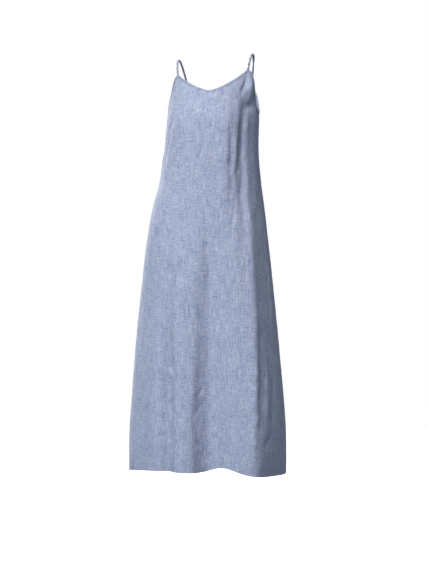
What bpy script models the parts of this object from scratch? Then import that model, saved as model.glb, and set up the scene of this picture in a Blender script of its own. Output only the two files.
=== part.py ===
"""A sleeveless linen midi dress, hollow and hanging as it is worn: two panels, bound edges and narrow straps.

Metres, +Z up. The front faces -Y and the wearer's left side is +X. The origin lies midway between the two
places where the straps rest on the shoulders, at the straps' underside.
"""

import math
from collections import namedtuple

import bpy
import numpy as np

# Cloth and edges
DRESS_LENGTH = 1.241  # shoulders to hem
WALL = 0.0012
HEM_WALL = 0.0024  # the turned-up hem is two layers
HEM_DEPTH = 0.022
SEAM_GAP = 0.0003
BINDING_WIDTH = 0.006
BINDING_WALL = 0.0009
LEGS_DOWN = (2, 6)  # sides of a binding's section that run down a leg, split as the panel under them is

# Straps. The left one is twisted like a cord, which rolls it up rounder. Its twist is tight at the front tip and
# dies away towards the back: at share s of its length it has made 1 - (1 - s)**TWIST_EASE of its turns.
Strap = namedtuple("Strap", "side width thickness turns")
STRAPS = {"left": Strap(1.0, 0.0056, 0.0036, -2.5), "right": Strap(-1.0, 0.0062, 0.0024, 0.0)}
TWIST_EASE = 2.32
SHOULDER_SPREAD = 0.112  # from the centre to each strap, on the shoulder
SHOULDER_ROLL = 0.0065  # the wearer's left shoulder is this much above the middle
STRAP_STATIONS = 56
STRAP_SIDES = 8
STRAP_CORNERS = (0.6, 0.8)  # the lower these powers, the squarer the strap's section across and through

# How finely a ring's outline is measured before it is divided evenly
OUTLINE_SAMPLES = 181

# The body of the dress, from the hem up: each row is a level ring with its own front and back depth.
Section = namedtuple("Section", "z centre_x half_width front back front_square back_square")
SECTIONS = (
    Section(-1.257, -0.0260, 0.2370, 0.184, 0.166, 2.45, 2.30),
    Section(-1.127, -0.0255, 0.2350, 0.178, 0.160, 2.45, 2.30),
    Section(-0.987, -0.0255, 0.2260, 0.171, 0.153, 2.45, 2.30),
    Section(-0.837, -0.0265, 0.2132, 0.163, 0.147, 2.45, 2.28),
    Section(-0.697, -0.0262, 0.1990, 0.156, 0.142, 2.40, 2.25),
    Section(-0.552, -0.0248, 0.1822, 0.148, 0.138, 2.38, 2.25),
    Section(-0.447, -0.0218, 0.1662, 0.142, 0.125, 2.34, 2.22),
    Section(-0.377, -0.0162, 0.1522, 0.139, 0.111, 2.30, 2.20),
    Section(-0.287, -0.0126, 0.1408, 0.139, 0.104, 2.28, 2.20),
    Section(-0.187, -0.0075, 0.1366, 0.136, 0.106, 2.26, 2.20),
    Section(-0.137, -0.0040, 0.1356, 0.121, 0.103, 2.24, 2.20),
    Section(-0.097, -0.0005, 0.1372, 0.108, 0.096, 2.22, 2.20),
    Section(-0.053, 0.0016, 0.1445, 0.089, 0.083, 2.20, 2.20),
    Section(-0.017, 0.0030, 0.1530, 0.070, 0.066, 2.20, 2.20),
)

# The upper edge of each panel: a neckline that dips between two tips, and armholes that fall to the side seams.
# The tips' places are shares of the way from the middle of the panel to a side seam. The left tip is higher than
# tip_z by roll, and the right one lower. An armhole falls as 1 - (1 - way**leaving)**arriving.
Edge = namedtuple("Edge", "dip_z tip_z tip_u tip_half_u roll neck_power leaving arriving")
UNDERARM_Z = -0.163
EDGES = {
    "front": Edge(-0.1090, -0.0530, 0.575, 0.018, 0.0065, 1.45, 1.8, 4.0),
    "back": Edge(-0.1270, -0.0870, 0.530, 0.018, 0.0025, 2.00, 1.8, 3.0),
}

# Folds. A row runs from z_top to z_low along the panel, at u_top and u_low (-1 is the wearer's right side seam
# and 1 the left), swelling out by rise_top to rise_low. A trough's rise is negative. near and far are its half
# widths at the top and at the bottom, on the side of the wearer's right and left.
Fold = namedtuple("Fold", "panel z_top z_low u_top u_low rise_top rise_low near_top near_low far_top far_low")
RUNS_OUT = -1.587  # a fold that ends below the hem has not faded where the cloth ends
FADE_IN = 0.25  # the share of a fold's height over which it grows, and then the share over which it dies away
FADE_OUT = 0.30
FOLDS = (
    # The long crest down the wearer's left, from the bust to the hem: a broad swell with a crisper ridge on it
    Fold("front", -0.177, RUNS_OUT, 0.575, 0.420, 0.004, 0.036, 0.040, 0.100, 0.026, 0.070),
    Fold("front", -0.177, RUNS_OUT, 0.582, 0.435, 0.003, 0.009, 0.014, 0.024, 0.010, 0.022),
    # The trough between the knees, the lip on its right edge, and the crest beyond that
    Fold("front", -0.447, RUNS_OUT, 0.105, 0.100, -0.008, -0.060, 0.024, 0.056, 0.024, 0.065),
    Fold("front", -0.687, RUNS_OUT, -0.030, -0.070, 0.004, 0.008, 0.012, 0.018, 0.009, 0.012),
    Fold("front", -0.487, RUNS_OUT, -0.190, -0.130, 0.003, 0.012, 0.030, 0.045, 0.030, 0.045),
    # The trough near the right edge, and the flat face from there to the right side
    Fold("front", -0.587, RUNS_OUT, -0.350, -0.252, -0.005, -0.034, 0.020, 0.032, 0.018, 0.028),
    Fold("front", -0.487, RUNS_OUT, -0.620, -0.580, -0.004, -0.032, 0.060, 0.072, 0.080, 0.100),
    # The trough that falls from the wearer's left strap past the bust, and the ridges on either side of it
    Fold("front", -0.092, -0.627, 0.555, 0.495, -0.0125, -0.009, 0.016, 0.018, 0.040, 0.028),
    Fold("front", -0.092, -0.627, 0.632, 0.545, 0.0045, 0.005, 0.012, 0.018, 0.014, 0.020),
    Fold("front", -0.107, -0.507, 0.300, 0.265, 0.003, 0.003, 0.018, 0.020, 0.012, 0.014),
    # Flutes of the back, from the seat down
    Fold("back", -0.407, RUNS_OUT, -0.560, -0.640, 0.004, 0.020, 0.040, 0.075, 0.035, 0.060),
    Fold("back", -0.487, RUNS_OUT, -0.300, -0.350, -0.004, -0.018, 0.030, 0.060, 0.030, 0.060),
    Fold("back", -0.367, RUNS_OUT, -0.040, -0.060, 0.003, 0.016, 0.045, 0.075, 0.045, 0.070),
    Fold("back", -0.447, RUNS_OUT, 0.220, 0.270, -0.004, -0.020, 0.030, 0.060, 0.030, 0.060),
    Fold("back", -0.347, RUNS_OUT, 0.500, 0.560, 0.004, 0.022, 0.040, 0.070, 0.035, 0.065),
    # A hollow between the shoulder blades
    Fold("back", -0.137, -0.407, 0.020, 0.020, -0.006, -0.004, 0.050, 0.050, 0.050, 0.050),
)

# Where the hem is drawn up, as the cloth swings between the legs
Lift = namedtuple("Lift", "panel u half_width rise")
HEM_LIFTS = (
    Lift("front", -0.300, 0.500, 0.011),
    Lift("front", 0.225, 0.150, 0.021),
    Lift("back", 0.100, 0.350, 0.004),
)
LIFT_REACH = 0.30  # the height over which a lift of the hem dies away
LIFT_MARGIN = 0.20  # both panels meet at the side seams, so within this share of one a lift dies away
HEM_TILT = 0.003  # the hem is this much lower at the wearer's left seam, and higher at the right one

# Rows and columns of the panels' walls
Layout = namedtuple("Layout", "sides neck skirt_rows bodice_rows")
LAYOUTS = {"front": Layout(12, 30, 23, 6), "back": Layout(9, 18, 19, 5)}
BODICE_Z = -0.202  # above this the rows bend to follow the upper edge
LEDGE = 0.0008  # height of the step where the hem's second layer ends

SHARP_ANGLE = math.radians(50.0)

# Colours from the lit cloth, as linear values
CLOTH_COLOUR = (0.33, 0.38, 0.55, 1.0)
BINDING_COLOUR = (0.27, 0.32, 0.50, 1.0)
STRAP_COLOUR = (0.24, 0.27, 0.42, 1.0)
CLOTH_ROUGHNESS = 0.85


def along(table, name, z):
    """A column's value at each height, on a smooth curve through the table's rows."""
    knots = np.array([row.z for row in table])
    values = np.array([getattr(row, name) for row in table])
    slopes = np.gradient(values, knots)
    i = np.clip(np.searchsorted(knots, z) - 1, 0, len(knots) - 2)
    step = knots[i + 1] - knots[i]
    t = np.clip((z - knots[i]) / step, 0.0, 1.0)
    rest = 1.0 - t
    starts = (1.0 + 2.0 * t) * rest**2 * values[i] + t * rest**2 * step * slopes[i]
    ends = t**2 * (3.0 - 2.0 * t) * values[i + 1] - t**2 * rest * step * slopes[i + 1]
    return starts + ends


def smooth(t):
    """0 below 0, 1 above 1, and an even rise between."""
    t = np.clip(t, 0.0, 1.0)
    return t * t * (3.0 - 2.0 * t)


def ring_radius(angle, half, depth, square):
    across = np.abs(np.cos(angle) / half) ** square
    deep = np.abs(np.sin(angle) / depth) ** square
    return (across + deep) ** (-1.0 / square)


def divide_ring(u, half, depth, square):
    """The angle at share u of the way round a panel's half of a ring, and half that arc's length."""
    grid = np.linspace(0.0, math.pi, OUTLINE_SAMPLES)
    reach = ring_radius(grid, half[..., None], depth[..., None], square[..., None])
    steps = np.hypot(np.diff(reach * np.cos(grid)), np.diff(reach * np.sin(grid)))
    run = np.concatenate([np.zeros(steps.shape[:-1] + (1,)), np.cumsum(steps, axis=-1)], axis=-1)
    target = SEAM_GAP / 2.0 + (1.0 - u) / 2.0 * (run[..., -1] - SEAM_GAP)
    i = np.clip((run < target[..., None]).sum(axis=-1) - 1, 0, OUTLINE_SAMPLES - 2)[..., None]
    before = np.take_along_axis(run, i, axis=-1)[..., 0]
    after = np.take_along_axis(run, i + 1, axis=-1)[..., 0]
    share = (target - before) / (after - before)
    return grid[i[..., 0]] + share * (grid[1] - grid[0]), run[..., -1] / 2.0


def fold_rise(panel, u, z, half_arc):
    """How far the folds move the cloth outwards."""
    total = np.zeros_like(z)
    for fold in FOLDS:
        if fold.panel != panel:
            continue
        t = np.clip((fold.z_top - z) / (fold.z_top - fold.z_low), 0.0, 1.0)
        middle = fold.u_top + (fold.u_low - fold.u_top) * t
        away = (u - middle) * half_arc
        near = fold.near_top + (fold.near_low - fold.near_top) * t
        far = fold.far_top + (fold.far_low - fold.far_top) * t
        width = np.where(away < 0.0, near, far)
        rise = fold.rise_top + (fold.rise_low - fold.rise_top) * t
        fade = smooth(t / FADE_IN) * smooth((1.0 - t) / FADE_OUT)
        total += rise * fade * np.exp(-((away / width) ** 2))
    return total


def surface(panel, u, z):
    """Points of the cloth's outer face."""
    u, z = np.broadcast_arrays(np.asarray(u, float), np.asarray(z, float))
    half = along(SECTIONS, "half_width", z)
    depth = along(SECTIONS, panel, z)
    square = along(SECTIONS, panel + "_square", z)
    facing = -1.0 if panel == "front" else 1.0
    angle, half_arc = divide_ring(u, half, depth, square)
    reach = ring_radius(angle, half, depth, square)
    x, y = reach * np.cos(angle), reach * np.sin(angle)
    normal_x = np.sign(x) * np.abs(x / half) ** (square - 1.0) / half
    normal_y = np.sign(y) * np.abs(y / depth) ** (square - 1.0) / depth
    length = np.hypot(normal_x, normal_y)
    rise = fold_rise(panel, u, z, half_arc)
    x = x + rise * normal_x / length + along(SECTIONS, "centre_x", z)
    y = facing * (y + rise * normal_y / length)
    return np.stack([x, y, z], axis=-1)


def slopes_at(panel, u, z, step=1e-4):
    """How the surface moves for a step of u and for a step of z."""
    by_u = (surface(panel, u + step, z) - surface(panel, u - step, z)) / (2.0 * step)
    by_z = (surface(panel, u, z + step) - surface(panel, u, z - step)) / (2.0 * step)
    return by_u, by_z


def unit(vectors):
    return vectors / np.linalg.norm(vectors, axis=-1, keepdims=True)


def outward(panel, u, z):
    by_u, by_z = slopes_at(panel, u, z)
    normal = unit(np.cross(by_u, by_z))
    return normal if panel == "front" else -normal


def top_edge(panel, u):
    """Height of a panel's upper edge: neckline, tip and armhole."""
    edge = EDGES[panel]
    side = np.abs(u)
    lean = edge.roll * np.sign(u)
    neck_share = np.clip(side / (edge.tip_u - edge.tip_half_u), 0.0, 1.0)
    arm_share = np.clip((side - edge.tip_u - edge.tip_half_u) / (1.0 - edge.tip_u - edge.tip_half_u), 0.0, 1.0)
    neck = edge.dip_z + (edge.tip_z - edge.dip_z + lean) * neck_share**edge.neck_power
    fall = 1.0 - (1.0 - arm_share**edge.leaving) ** edge.arriving
    arm = edge.tip_z + lean + (UNDERARM_Z - edge.tip_z - lean) * fall
    return np.where(side < edge.tip_u, neck, arm)


def hem_lift(panel, u):
    total = np.zeros_like(np.asarray(u, float))
    for lift in HEM_LIFTS:
        if lift.panel == panel:
            total = total + lift.rise * np.exp(-(((u - lift.u) / lift.half_width) ** 2))
    return total * smooth((1.0 - np.abs(u)) / LIFT_MARGIN) - HEM_TILT * u


def panel_columns(panel):
    """Places across a panel, anticlockwise round the dress from above, with one at each corner of the tips."""
    edge, layout = EDGES[panel], LAYOUTS[panel]
    outer, inner = edge.tip_u + edge.tip_half_u, edge.tip_u - edge.tip_half_u
    side = np.linspace(outer, 1.0, layout.sides + 1)
    neck = np.linspace(-inner, inner, layout.neck + 1)
    columns = np.concatenate([-side[::-1], neck, side])
    return columns if panel == "front" else columns[::-1]


def edge_row(panel, columns):
    """Heights of the line on a panel that lies one binding's width inside its upper edge."""
    step = 1e-3
    u = np.clip(columns, step - 1.0, 1.0 - step)
    heights = top_edge(panel, columns)
    before = surface(panel, u - step, top_edge(panel, u - step))
    after = surface(panel, u + step, top_edge(panel, u + step))
    run = after - before
    slant = np.linalg.norm(run, axis=-1) / np.hypot(run[:, 0], run[:, 1])
    return heights - BINDING_WIDTH * slant


def panel_heights(panel, columns):
    """Heights of a panel's rows, one line of them for each column."""
    layout = LAYOUTS[panel]
    hem = -DRESS_LENGTH
    fold_line = hem + HEM_DEPTH
    levels = np.concatenate([[hem, fold_line], np.linspace(fold_line + LEDGE, BODICE_Z, layout.skirt_rows + 1)])
    lift = hem_lift(panel, columns)[:, None] * smooth(1.0 - (levels - hem) / LIFT_REACH)
    skirt = levels + lift
    share = np.linspace(0.0, 1.0, layout.bodice_rows + 1)[1:]
    bodice = BODICE_Z + (edge_row(panel, columns)[:, None] - BODICE_Z) * share
    return np.concatenate([skirt, bodice, top_edge(panel, columns)[:, None]], axis=1)


def new_object(name, points, faces, material):
    mesh = bpy.data.meshes.new(name)
    mesh.from_pydata(points.tolist(), [], faces)
    mesh.materials.append(material)
    mesh.shade_smooth()
    mesh.set_sharp_from_angle(angle=SHARP_ANGLE)
    obj = bpy.data.objects.new(name, mesh)
    bpy.context.scene.collection.objects.link(obj)
    return obj


def wall_faces(columns, rows):
    """Quads of a closed wall: an outer and an inner sheet of points, and the rim between them."""
    inner = columns * rows

    def at(i, j):
        return i * rows + j

    faces = []
    for i in range(columns - 1):
        for j in range(rows - 1):
            quad = (at(i, j), at(i + 1, j), at(i + 1, j + 1), at(i, j + 1))
            faces.append(quad)
            # From the same corner, so that both sheets of the wall are split along the same diagonal
            faces.append(tuple(inner + quad[k] for k in (0, 3, 2, 1)))
    rim = [at(i, 0) for i in range(columns)]
    rim += [at(columns - 1, j) for j in range(1, rows)]
    rim += [at(i, rows - 1) for i in range(columns - 2, -1, -1)]
    rim += [at(0, j) for j in range(rows - 2, 0, -1)]
    for here, there in zip(rim, rim[1:] + rim[:1]):
        faces.append((there, here, inner + here, inner + there))
    return faces


def make_panel(panel, material):
    """A panel's wall, doubled inside along the hem."""
    columns = panel_columns(panel)
    heights = panel_heights(panel, columns)
    u = np.broadcast_to(columns[:, None], heights.shape)
    outer = surface(panel, u, heights)
    thickness = np.full(heights.shape, WALL)
    thickness[:, :2] = HEM_WALL
    inner = outer - outward(panel, u, heights) * thickness[..., None]
    points = np.concatenate([outer.reshape(-1, 3), inner.reshape(-1, 3)])
    return new_object(panel + "_panel", points, wall_faces(*heights.shape), material)


def swept_faces(stations, sides, turned):
    """Quads of a tube of rings, with a cap at each end. The sides in turned are split along the other diagonal."""
    faces = []
    for i in range(stations - 1):
        for j in range(sides):
            k = (j + 1) % sides
            quad = (i * sides + j, i * sides + k, (i + 1) * sides + k, (i + 1) * sides + j)
            faces.append(quad[1:] + quad[:1] if j in turned else quad)
    faces.append(tuple(reversed(range(sides))))
    faces.append(tuple((stations - 1) * sides + j for j in range(sides)))
    return faces


def binding_rings(panel, columns):
    """Cross-sections of a strip folded over a panel's upper edge, one at each of the panel's columns.

    Each has eight corners, up the outer leg, down the inner one, and back along the inside of the fold.
    """
    edge_z, leg_z = top_edge(panel, columns), edge_row(panel, columns)
    points, leg = surface(panel, columns, edge_z), surface(panel, columns, leg_z)
    normal, leg_normal = outward(panel, columns, edge_z), outward(panel, columns, leg_z)
    run = unit(np.gradient(points, axis=0))
    over = unit(np.cross(run, normal))
    over *= np.where(over[:, 2:3] < 0.0, -1.0, 1.0)
    near, far = SEAM_GAP, SEAM_GAP + BINDING_WALL
    return np.stack(
        [
            leg + leg_normal * far,
            points + normal * far + over * far,
            points - normal * (WALL + far) + over * far,
            leg - leg_normal * (WALL + far),
            leg - leg_normal * (WALL + near),
            points - normal * (WALL + near) + over * near,
            points + normal * near + over * near,
            leg + leg_normal * near,
        ],
        axis=1,
    )


def facing_out(points, faces):
    """The same faces, turned round if the closed shape that they make is inside out."""
    volume = 0.0
    for face in faces:
        a = points[face[0]]
        for b, c in zip(face[1:-1], face[2:]):
            volume += np.dot(a, np.cross(points[b], points[c]))
    return faces if volume > 0.0 else [face[:1] + face[:0:-1] for face in faces]


def make_swept(name, rings, material, turned=()):
    points = rings.reshape(-1, 3)
    faces = swept_faces(rings.shape[0], rings.shape[1], turned)
    return new_object(name, points, facing_out(points - points.mean(axis=0), faces), material)


def make_neck_binding(panel, material):
    columns = panel_columns(panel)
    neck = columns[np.abs(columns) < EDGES[panel].tip_u]
    return make_swept(panel + "_neck_binding", binding_rings(panel, neck), material, LEGS_DOWN)


def make_armhole_binding(name, side, material):
    """A strip round one armhole, from tip to tip past the side seam."""
    halves = []
    for panel in ("front", "back") if side > 0.0 else ("back", "front"):
        columns = panel_columns(panel)
        halves.append(binding_rings(panel, columns[side * columns > EDGES[panel].tip_u]))
    before, after = halves
    rings = np.concatenate([before[:-1], (before[-1:] + after[:1]) / 2.0, after[1:]])
    return make_swept(name, rings, material, LEGS_DOWN)


def tip_frame(panel, side):
    """The middle of a tip's upper edge, the way the cloth runs upwards there, and the way along the edge."""
    edge = EDGES[panel]
    u = np.array([side * edge.tip_u])
    z = edge.tip_z + np.array([edge.roll * side])
    normal = outward(panel, u, z)[0]
    along_edge = unit(slopes_at(panel, u, z)[0][0])
    upwards = unit(np.cross(along_edge, normal))
    upwards = upwards * np.sign(upwards[2])
    return surface(panel, u, z)[0] - normal * WALL / 2.0, upwards, along_edge


def hermite(start, start_way, end, end_way, count):
    """Points of a smooth curve between two ends that have a direction each."""
    t = np.linspace(0.0, 1.0, count)[:, None]
    pull = np.linalg.norm(end - start)
    return (
        (1.0 + 2.0 * t) * (1.0 - t) ** 2 * start
        + t * (1.0 - t) ** 2 * pull * start_way
        + t**2 * (3.0 - 2.0 * t) * end
        - t**2 * (1.0 - t) * pull * end_way
    )


def strap_way(up, start, top):
    """The way a strap leaves a tip: as steep as the cloth there and, from the front, straight for the shoulder."""
    across, height = top[0] - start[0], top[2] - start[2]
    return unit(np.array([across, height * up[1] / up[2], height]))


def strap_route(strap):
    """The strap's middle line and the way across it at each station, from the front tip to the back tip."""
    front, front_up, front_across = tip_frame("front", strap.side)
    back, back_up, back_across = tip_frame("back", strap.side)
    front = front + front_up * SEAM_GAP
    back = back + back_up * SEAM_GAP
    top = np.array([strap.side * SHOULDER_SPREAD, 0.0, strap.side * SHOULDER_ROLL + strap.thickness / 2.0])
    backwards = np.array([0.0, 1.0, 0.0])
    half = STRAP_STATIONS // 2
    rising = hermite(front, strap_way(front_up, front, top), top, backwards, half)
    falling = hermite(top, backwards, back, -strap_way(back_up, back, top), half)
    share = smooth(np.linspace(0.0, 1.0, half))[:, None]
    level = np.array([1.0, 0.0, 0.0])
    rising_across = front_across + (level - front_across) * share
    falling_across = level + (back_across - level) * share
    route = np.concatenate([rising, falling[1:]])
    across = np.concatenate([rising_across, falling_across[1:]])
    run = unit(np.gradient(route, axis=0))
    run[0], run[-1] = front_up, -back_up
    across = unit(across - run * (across * run).sum(axis=1, keepdims=True))
    return route, run, across


def make_strap(name, strap, material):
    """A narrow folded strip from the front tip over the shoulder to the back tip."""
    route, run, across = strap_route(strap)
    up = np.cross(run, across)
    steps = np.linalg.norm(np.diff(route, axis=0), axis=1)
    length = np.concatenate([[0.0], np.cumsum(steps)])
    twisted = 1.0 - (1.0 - length / length[-1]) ** TWIST_EASE
    twist = 2.0 * math.pi * strap.turns * twisted[:, None, None]
    corner = np.linspace(0.0, 2.0 * math.pi, STRAP_SIDES, endpoint=False) + math.pi / STRAP_SIDES
    wide = np.sign(np.cos(corner)) * np.abs(np.cos(corner)) ** STRAP_CORNERS[0] * strap.width / 2.0
    thick = np.sign(np.sin(corner)) * np.abs(np.sin(corner)) ** STRAP_CORNERS[1] * strap.thickness / 2.0
    wide, thick = wide[None, :, None], thick[None, :, None]
    turned_wide = wide * np.cos(twist) - thick * np.sin(twist)
    turned_thick = wide * np.sin(twist) + thick * np.cos(twist)
    rings = route[:, None, :] + turned_wide * across[:, None, :] + turned_thick * up[:, None, :]
    return make_swept(name, rings, material)


def new_material(name, colour):
    material = bpy.data.materials.new(name)
    material.use_nodes = True
    shader = material.node_tree.nodes["Principled BSDF"]
    shader.inputs["Base Color"].default_value = colour
    shader.inputs["Roughness"].default_value = CLOTH_ROUGHNESS
    shader.inputs["Metallic"].default_value = 0.0
    return material


def clear_scene():
    for obj in list(bpy.data.objects):
        bpy.data.objects.remove(obj)


def main():
    clear_scene()
    for panel in ("front", "back"):
        make_panel(panel, new_material(panel + "_cloth", CLOTH_COLOUR))
        make_neck_binding(panel, new_material(panel + "_neck_bias", BINDING_COLOUR))
    for name, strap in STRAPS.items():
        make_armhole_binding(name + "_armhole_binding", strap.side, new_material(name + "_bias", BINDING_COLOUR))
        make_strap(name + "_strap", strap, new_material(name + "_strap_cloth", STRAP_COLOUR))


main()
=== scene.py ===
import math
import bpy
import numpy as np
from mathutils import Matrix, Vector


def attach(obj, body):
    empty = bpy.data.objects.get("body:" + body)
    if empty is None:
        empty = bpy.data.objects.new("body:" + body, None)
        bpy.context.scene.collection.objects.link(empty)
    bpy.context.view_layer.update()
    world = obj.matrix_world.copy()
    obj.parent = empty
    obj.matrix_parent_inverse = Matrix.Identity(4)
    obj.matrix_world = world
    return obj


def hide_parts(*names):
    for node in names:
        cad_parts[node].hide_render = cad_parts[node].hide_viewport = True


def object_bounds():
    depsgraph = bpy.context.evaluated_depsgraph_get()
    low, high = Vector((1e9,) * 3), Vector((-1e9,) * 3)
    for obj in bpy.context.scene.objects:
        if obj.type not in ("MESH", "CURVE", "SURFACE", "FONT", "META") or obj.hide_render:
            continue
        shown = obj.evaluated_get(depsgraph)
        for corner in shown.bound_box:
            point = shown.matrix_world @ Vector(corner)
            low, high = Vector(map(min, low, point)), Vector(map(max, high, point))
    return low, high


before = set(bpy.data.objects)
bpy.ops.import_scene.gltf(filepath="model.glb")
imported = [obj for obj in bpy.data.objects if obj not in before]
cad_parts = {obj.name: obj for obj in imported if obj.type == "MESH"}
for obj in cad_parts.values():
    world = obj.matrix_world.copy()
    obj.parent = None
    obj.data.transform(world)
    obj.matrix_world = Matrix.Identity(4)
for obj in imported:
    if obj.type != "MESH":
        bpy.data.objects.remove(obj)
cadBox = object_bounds()
print("frame loaded")


# shaders

def setInputs(node, values):
    for name, value in values.items():
        if isinstance(value, Wire):
            value.tree.links.new(value.socket, node.inputs[name])
        else:
            node.inputs[name].default_value = value


class Wire:  # a shader socket that works in plain arithmetic
    def __init__(self, tree, socket=None):
        self.tree = tree
        self.socket = socket

    def node(self, kind, settings=None, inputs=None, output=0):
        made = self.tree.nodes.new(kind)
        for name, value in (settings or {}).items():
            setattr(made, name, value)
        setInputs(made, inputs or {})
        return Wire(self.tree, made.outputs[output])

    def maths(self, operation, *values):
        return self.node("ShaderNodeMath", {"operation": operation}, dict(enumerate(values)))

    def __add__(self, other):
        return self.maths("ADD", self, other)

    def __radd__(self, other):
        return self.maths("ADD", other, self)

    def __sub__(self, other):
        return self.maths("SUBTRACT", self, other)

    def __rsub__(self, other):
        return self.maths("SUBTRACT", other, self)

    def __mul__(self, other):
        return self.maths("MULTIPLY", self, other)

    def __rmul__(self, other):
        return self.maths("MULTIPLY", other, self)

    def __truediv__(self, other):
        return self.maths("DIVIDE", self, other)

    def floor(self):
        return self.maths("FLOOR", self)

    def fraction(self):
        return self.maths("FRACT", self)

    def sine(self):
        return self.maths("SINE", self)

    def size(self):
        return self.maths("ABSOLUTE", self)

    def above(self, limit):
        return self.maths("GREATER_THAN", self, limit)

    def clamped(self):
        return self.node("ShaderNodeClamp", None, {"Value": self})

    def point(self, x, y, z=0.0):
        return self.node("ShaderNodeCombineXYZ", None, {0: x, 1: y, 2: z})

    def noise(self, x, y, detail=1.0, z=0.0):
        inputs = {"Vector": self.point(x, y, z), "Scale": 1.0, "Detail": detail}
        return self.node("ShaderNodeTexNoise", {"noise_dimensions": "3D"}, inputs)

    def sway(self, x, y, detail, z):  # the same noise, about nought
        return self.noise(x, y, detail, z) - 0.5

    def bump(self):
        return self.node("ShaderNodeBump", None, {"Height": self, "Strength": 1.0, "Distance": 1.0})

    def blend(self, share, first, second):
        settings = {"data_type": "RGBA", "clamp_factor": True}
        return self.node("ShaderNodeMix", settings, {0: share, 6: first, 7: second}, 2)

    def choose(self, share, first, second):
        return first + share * (second - first)


def newPaint(name):
    paint = bpy.data.materials.new(name)
    paint.use_nodes = True
    return paint, paint.node_tree.nodes["Principled BSDF"]


def newObject(name, shape):
    made = bpy.data.objects.new(name, shape)
    bpy.context.scene.collection.objects.link(made)
    return made


# camera and light

studio = {
    "viewDistance": 6.0,
    "sensorWidth": 36.0,
    "metresPerPixel": 0.003,  # at the middle of the dress
    "framePixels": (428, 583),
    "azimuth": 9.0,  # the photo looks a little round the wearer's left side
    "aimHeight": -0.701,
    "aimAside": -0.0056,
    "floorDrop": 0.34,  # from the hem to the floor
    "floorSize": 14.0,
    "floorColour": (0.88, 0.88, 0.89),
    "floorRoughness": 0.9,
    "floorGloss": 0.1,
    "floorGlow": 1.0,
    "skyColour": (1.0, 1.0, 1.0),
    "fillColour": (0.74, 0.86, 1.0),
    "skyFill": 0.040,
    "lights": {  # azimuth and height above level in degrees, distance, power, size, colour
        "keyLight": (-16.0, 46.0, 6.0, 354.0, 1.7, (1.0, 0.975, 0.94)),
        "sideFill": (46.0, 2.0, 5.0, 46.0, 2.2, (0.85, 0.88, 1.0)),
        "leftRim": (124.0, 6.0, 5.0, 16.0, 2.2, (0.85, 0.90, 1.0)),
        "frontFill": (-14.0, -14.0, 5.0, 68.0, 2.6, (0.68, 0.86, 1.0)),
        "lowFill": (-50.0, -12.0, 2.0, 5.4, 0.7, (0.66, 0.82, 1.0)),
        "backKey": (222.0, 40.0, 6.0, 380.0, 1.7, (1.0, 0.975, 0.94)),
        "backFill": (150.0, -2.0, 5.0, 46.0, 2.2, (0.74, 0.88, 1.0)),
    },
}


def aimAt(place, target):
    way = np.array(target) - np.array(place)
    turn = math.atan2(way[1], way[0]) - math.pi / 2
    tilt = math.atan2(way[2], math.hypot(way[0], way[1])) + math.pi / 2
    return (tilt, 0.0, turn)


def addLights():
    target = np.array([0.0, 0.0, studio["aimHeight"]])
    for name, (azimuth, height, distance, power, size, colour) in studio["lights"].items():
        azimuth, height = math.radians(azimuth), math.radians(height)
        level = math.cos(height) * distance
        way = np.array([math.sin(azimuth) * level, -math.cos(azimuth) * level, math.sin(height) * distance])
        lamp = bpy.data.lights.new(name, "AREA")
        lamp.energy = power
        lamp.color = colour
        lamp.shape = "DISK"
        lamp.size = size
        holder = newObject(name, lamp)
        holder.location = target + way
        holder.rotation_euler = aimAt(target + way, target)
        holder.visible_camera = False


def addCamera():
    azimuth = math.radians(studio["azimuth"])
    aside = np.array([math.cos(azimuth), math.sin(azimuth), 0.0]) * studio["aimAside"]
    target = aside + np.array([0.0, 0.0, studio["aimHeight"]])
    back = np.array([math.sin(azimuth), -math.cos(azimuth), 0.0]) * studio["viewDistance"]
    lens = bpy.data.cameras.new("photoCamera")
    lens.sensor_fit = "HORIZONTAL"
    lens.sensor_width = studio["sensorWidth"]
    across = studio["metresPerPixel"] * studio["framePixels"][0]
    lens.lens = lens.sensor_width * studio["viewDistance"] / across
    holder = newObject("photoCamera", lens)
    holder.location = target + back
    holder.rotation_euler = (math.pi / 2, 0.0, azimuth)
    bpy.context.scene.camera = holder


def addWorld():
    world = bpy.data.worlds.new("softStudio")
    world.use_nodes = True
    tree = world.node_tree
    tree.nodes.clear()
    output = tree.nodes.new("ShaderNodeOutputWorld")
    mix = tree.nodes.new("ShaderNodeMixShader")
    ray = tree.nodes.new("ShaderNodeLightPath")
    for slot, colour, strength in ((1, "fillColour", studio["skyFill"]), (2, "skyColour", 1.0)):
        sky = tree.nodes.new("ShaderNodeBackground")
        setInputs(sky, {"Color": (*studio[colour], 1.0), "Strength": strength})
        tree.links.new(sky.outputs[0], mix.inputs[slot])
    tree.links.new(ray.outputs["Is Camera Ray"], mix.inputs[0])
    tree.links.new(mix.outputs[0], output.inputs[0])
    bpy.context.scene.world = world


def addFloor():
    half = studio["floorSize"] / 2
    low = cadBox[0][2] - studio["floorDrop"]
    mesh = bpy.data.meshes.new("studioFloor")
    corners = [(-half, -half, low), (half, -half, low), (half, half, low), (-half, half, low)]
    mesh.from_pydata(corners, [], [(0, 1, 2, 3)])
    floor = newObject("studioFloor", mesh)
    paint, shader = newPaint("paleFloor")
    colour = (*studio["floorColour"], 1.0)
    setInputs(shader, {
        "Base Color": colour,
        "Roughness": studio["floorRoughness"],
        "Specular IOR Level": studio["floorGloss"],
        "Emission Color": colour,
        "Emission Strength": studio["floorGlow"],
    })
    mesh.materials.append(paint)
    floor.visible_diffuse = False  # it shows white, but sends no light up into the skirt
    floor.visible_glossy = False


bpy.context.scene.view_settings.view_transform = "Standard"
addCamera()
addWorld()
addFloor()
addLights()
print("studio ready")


# materials

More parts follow.
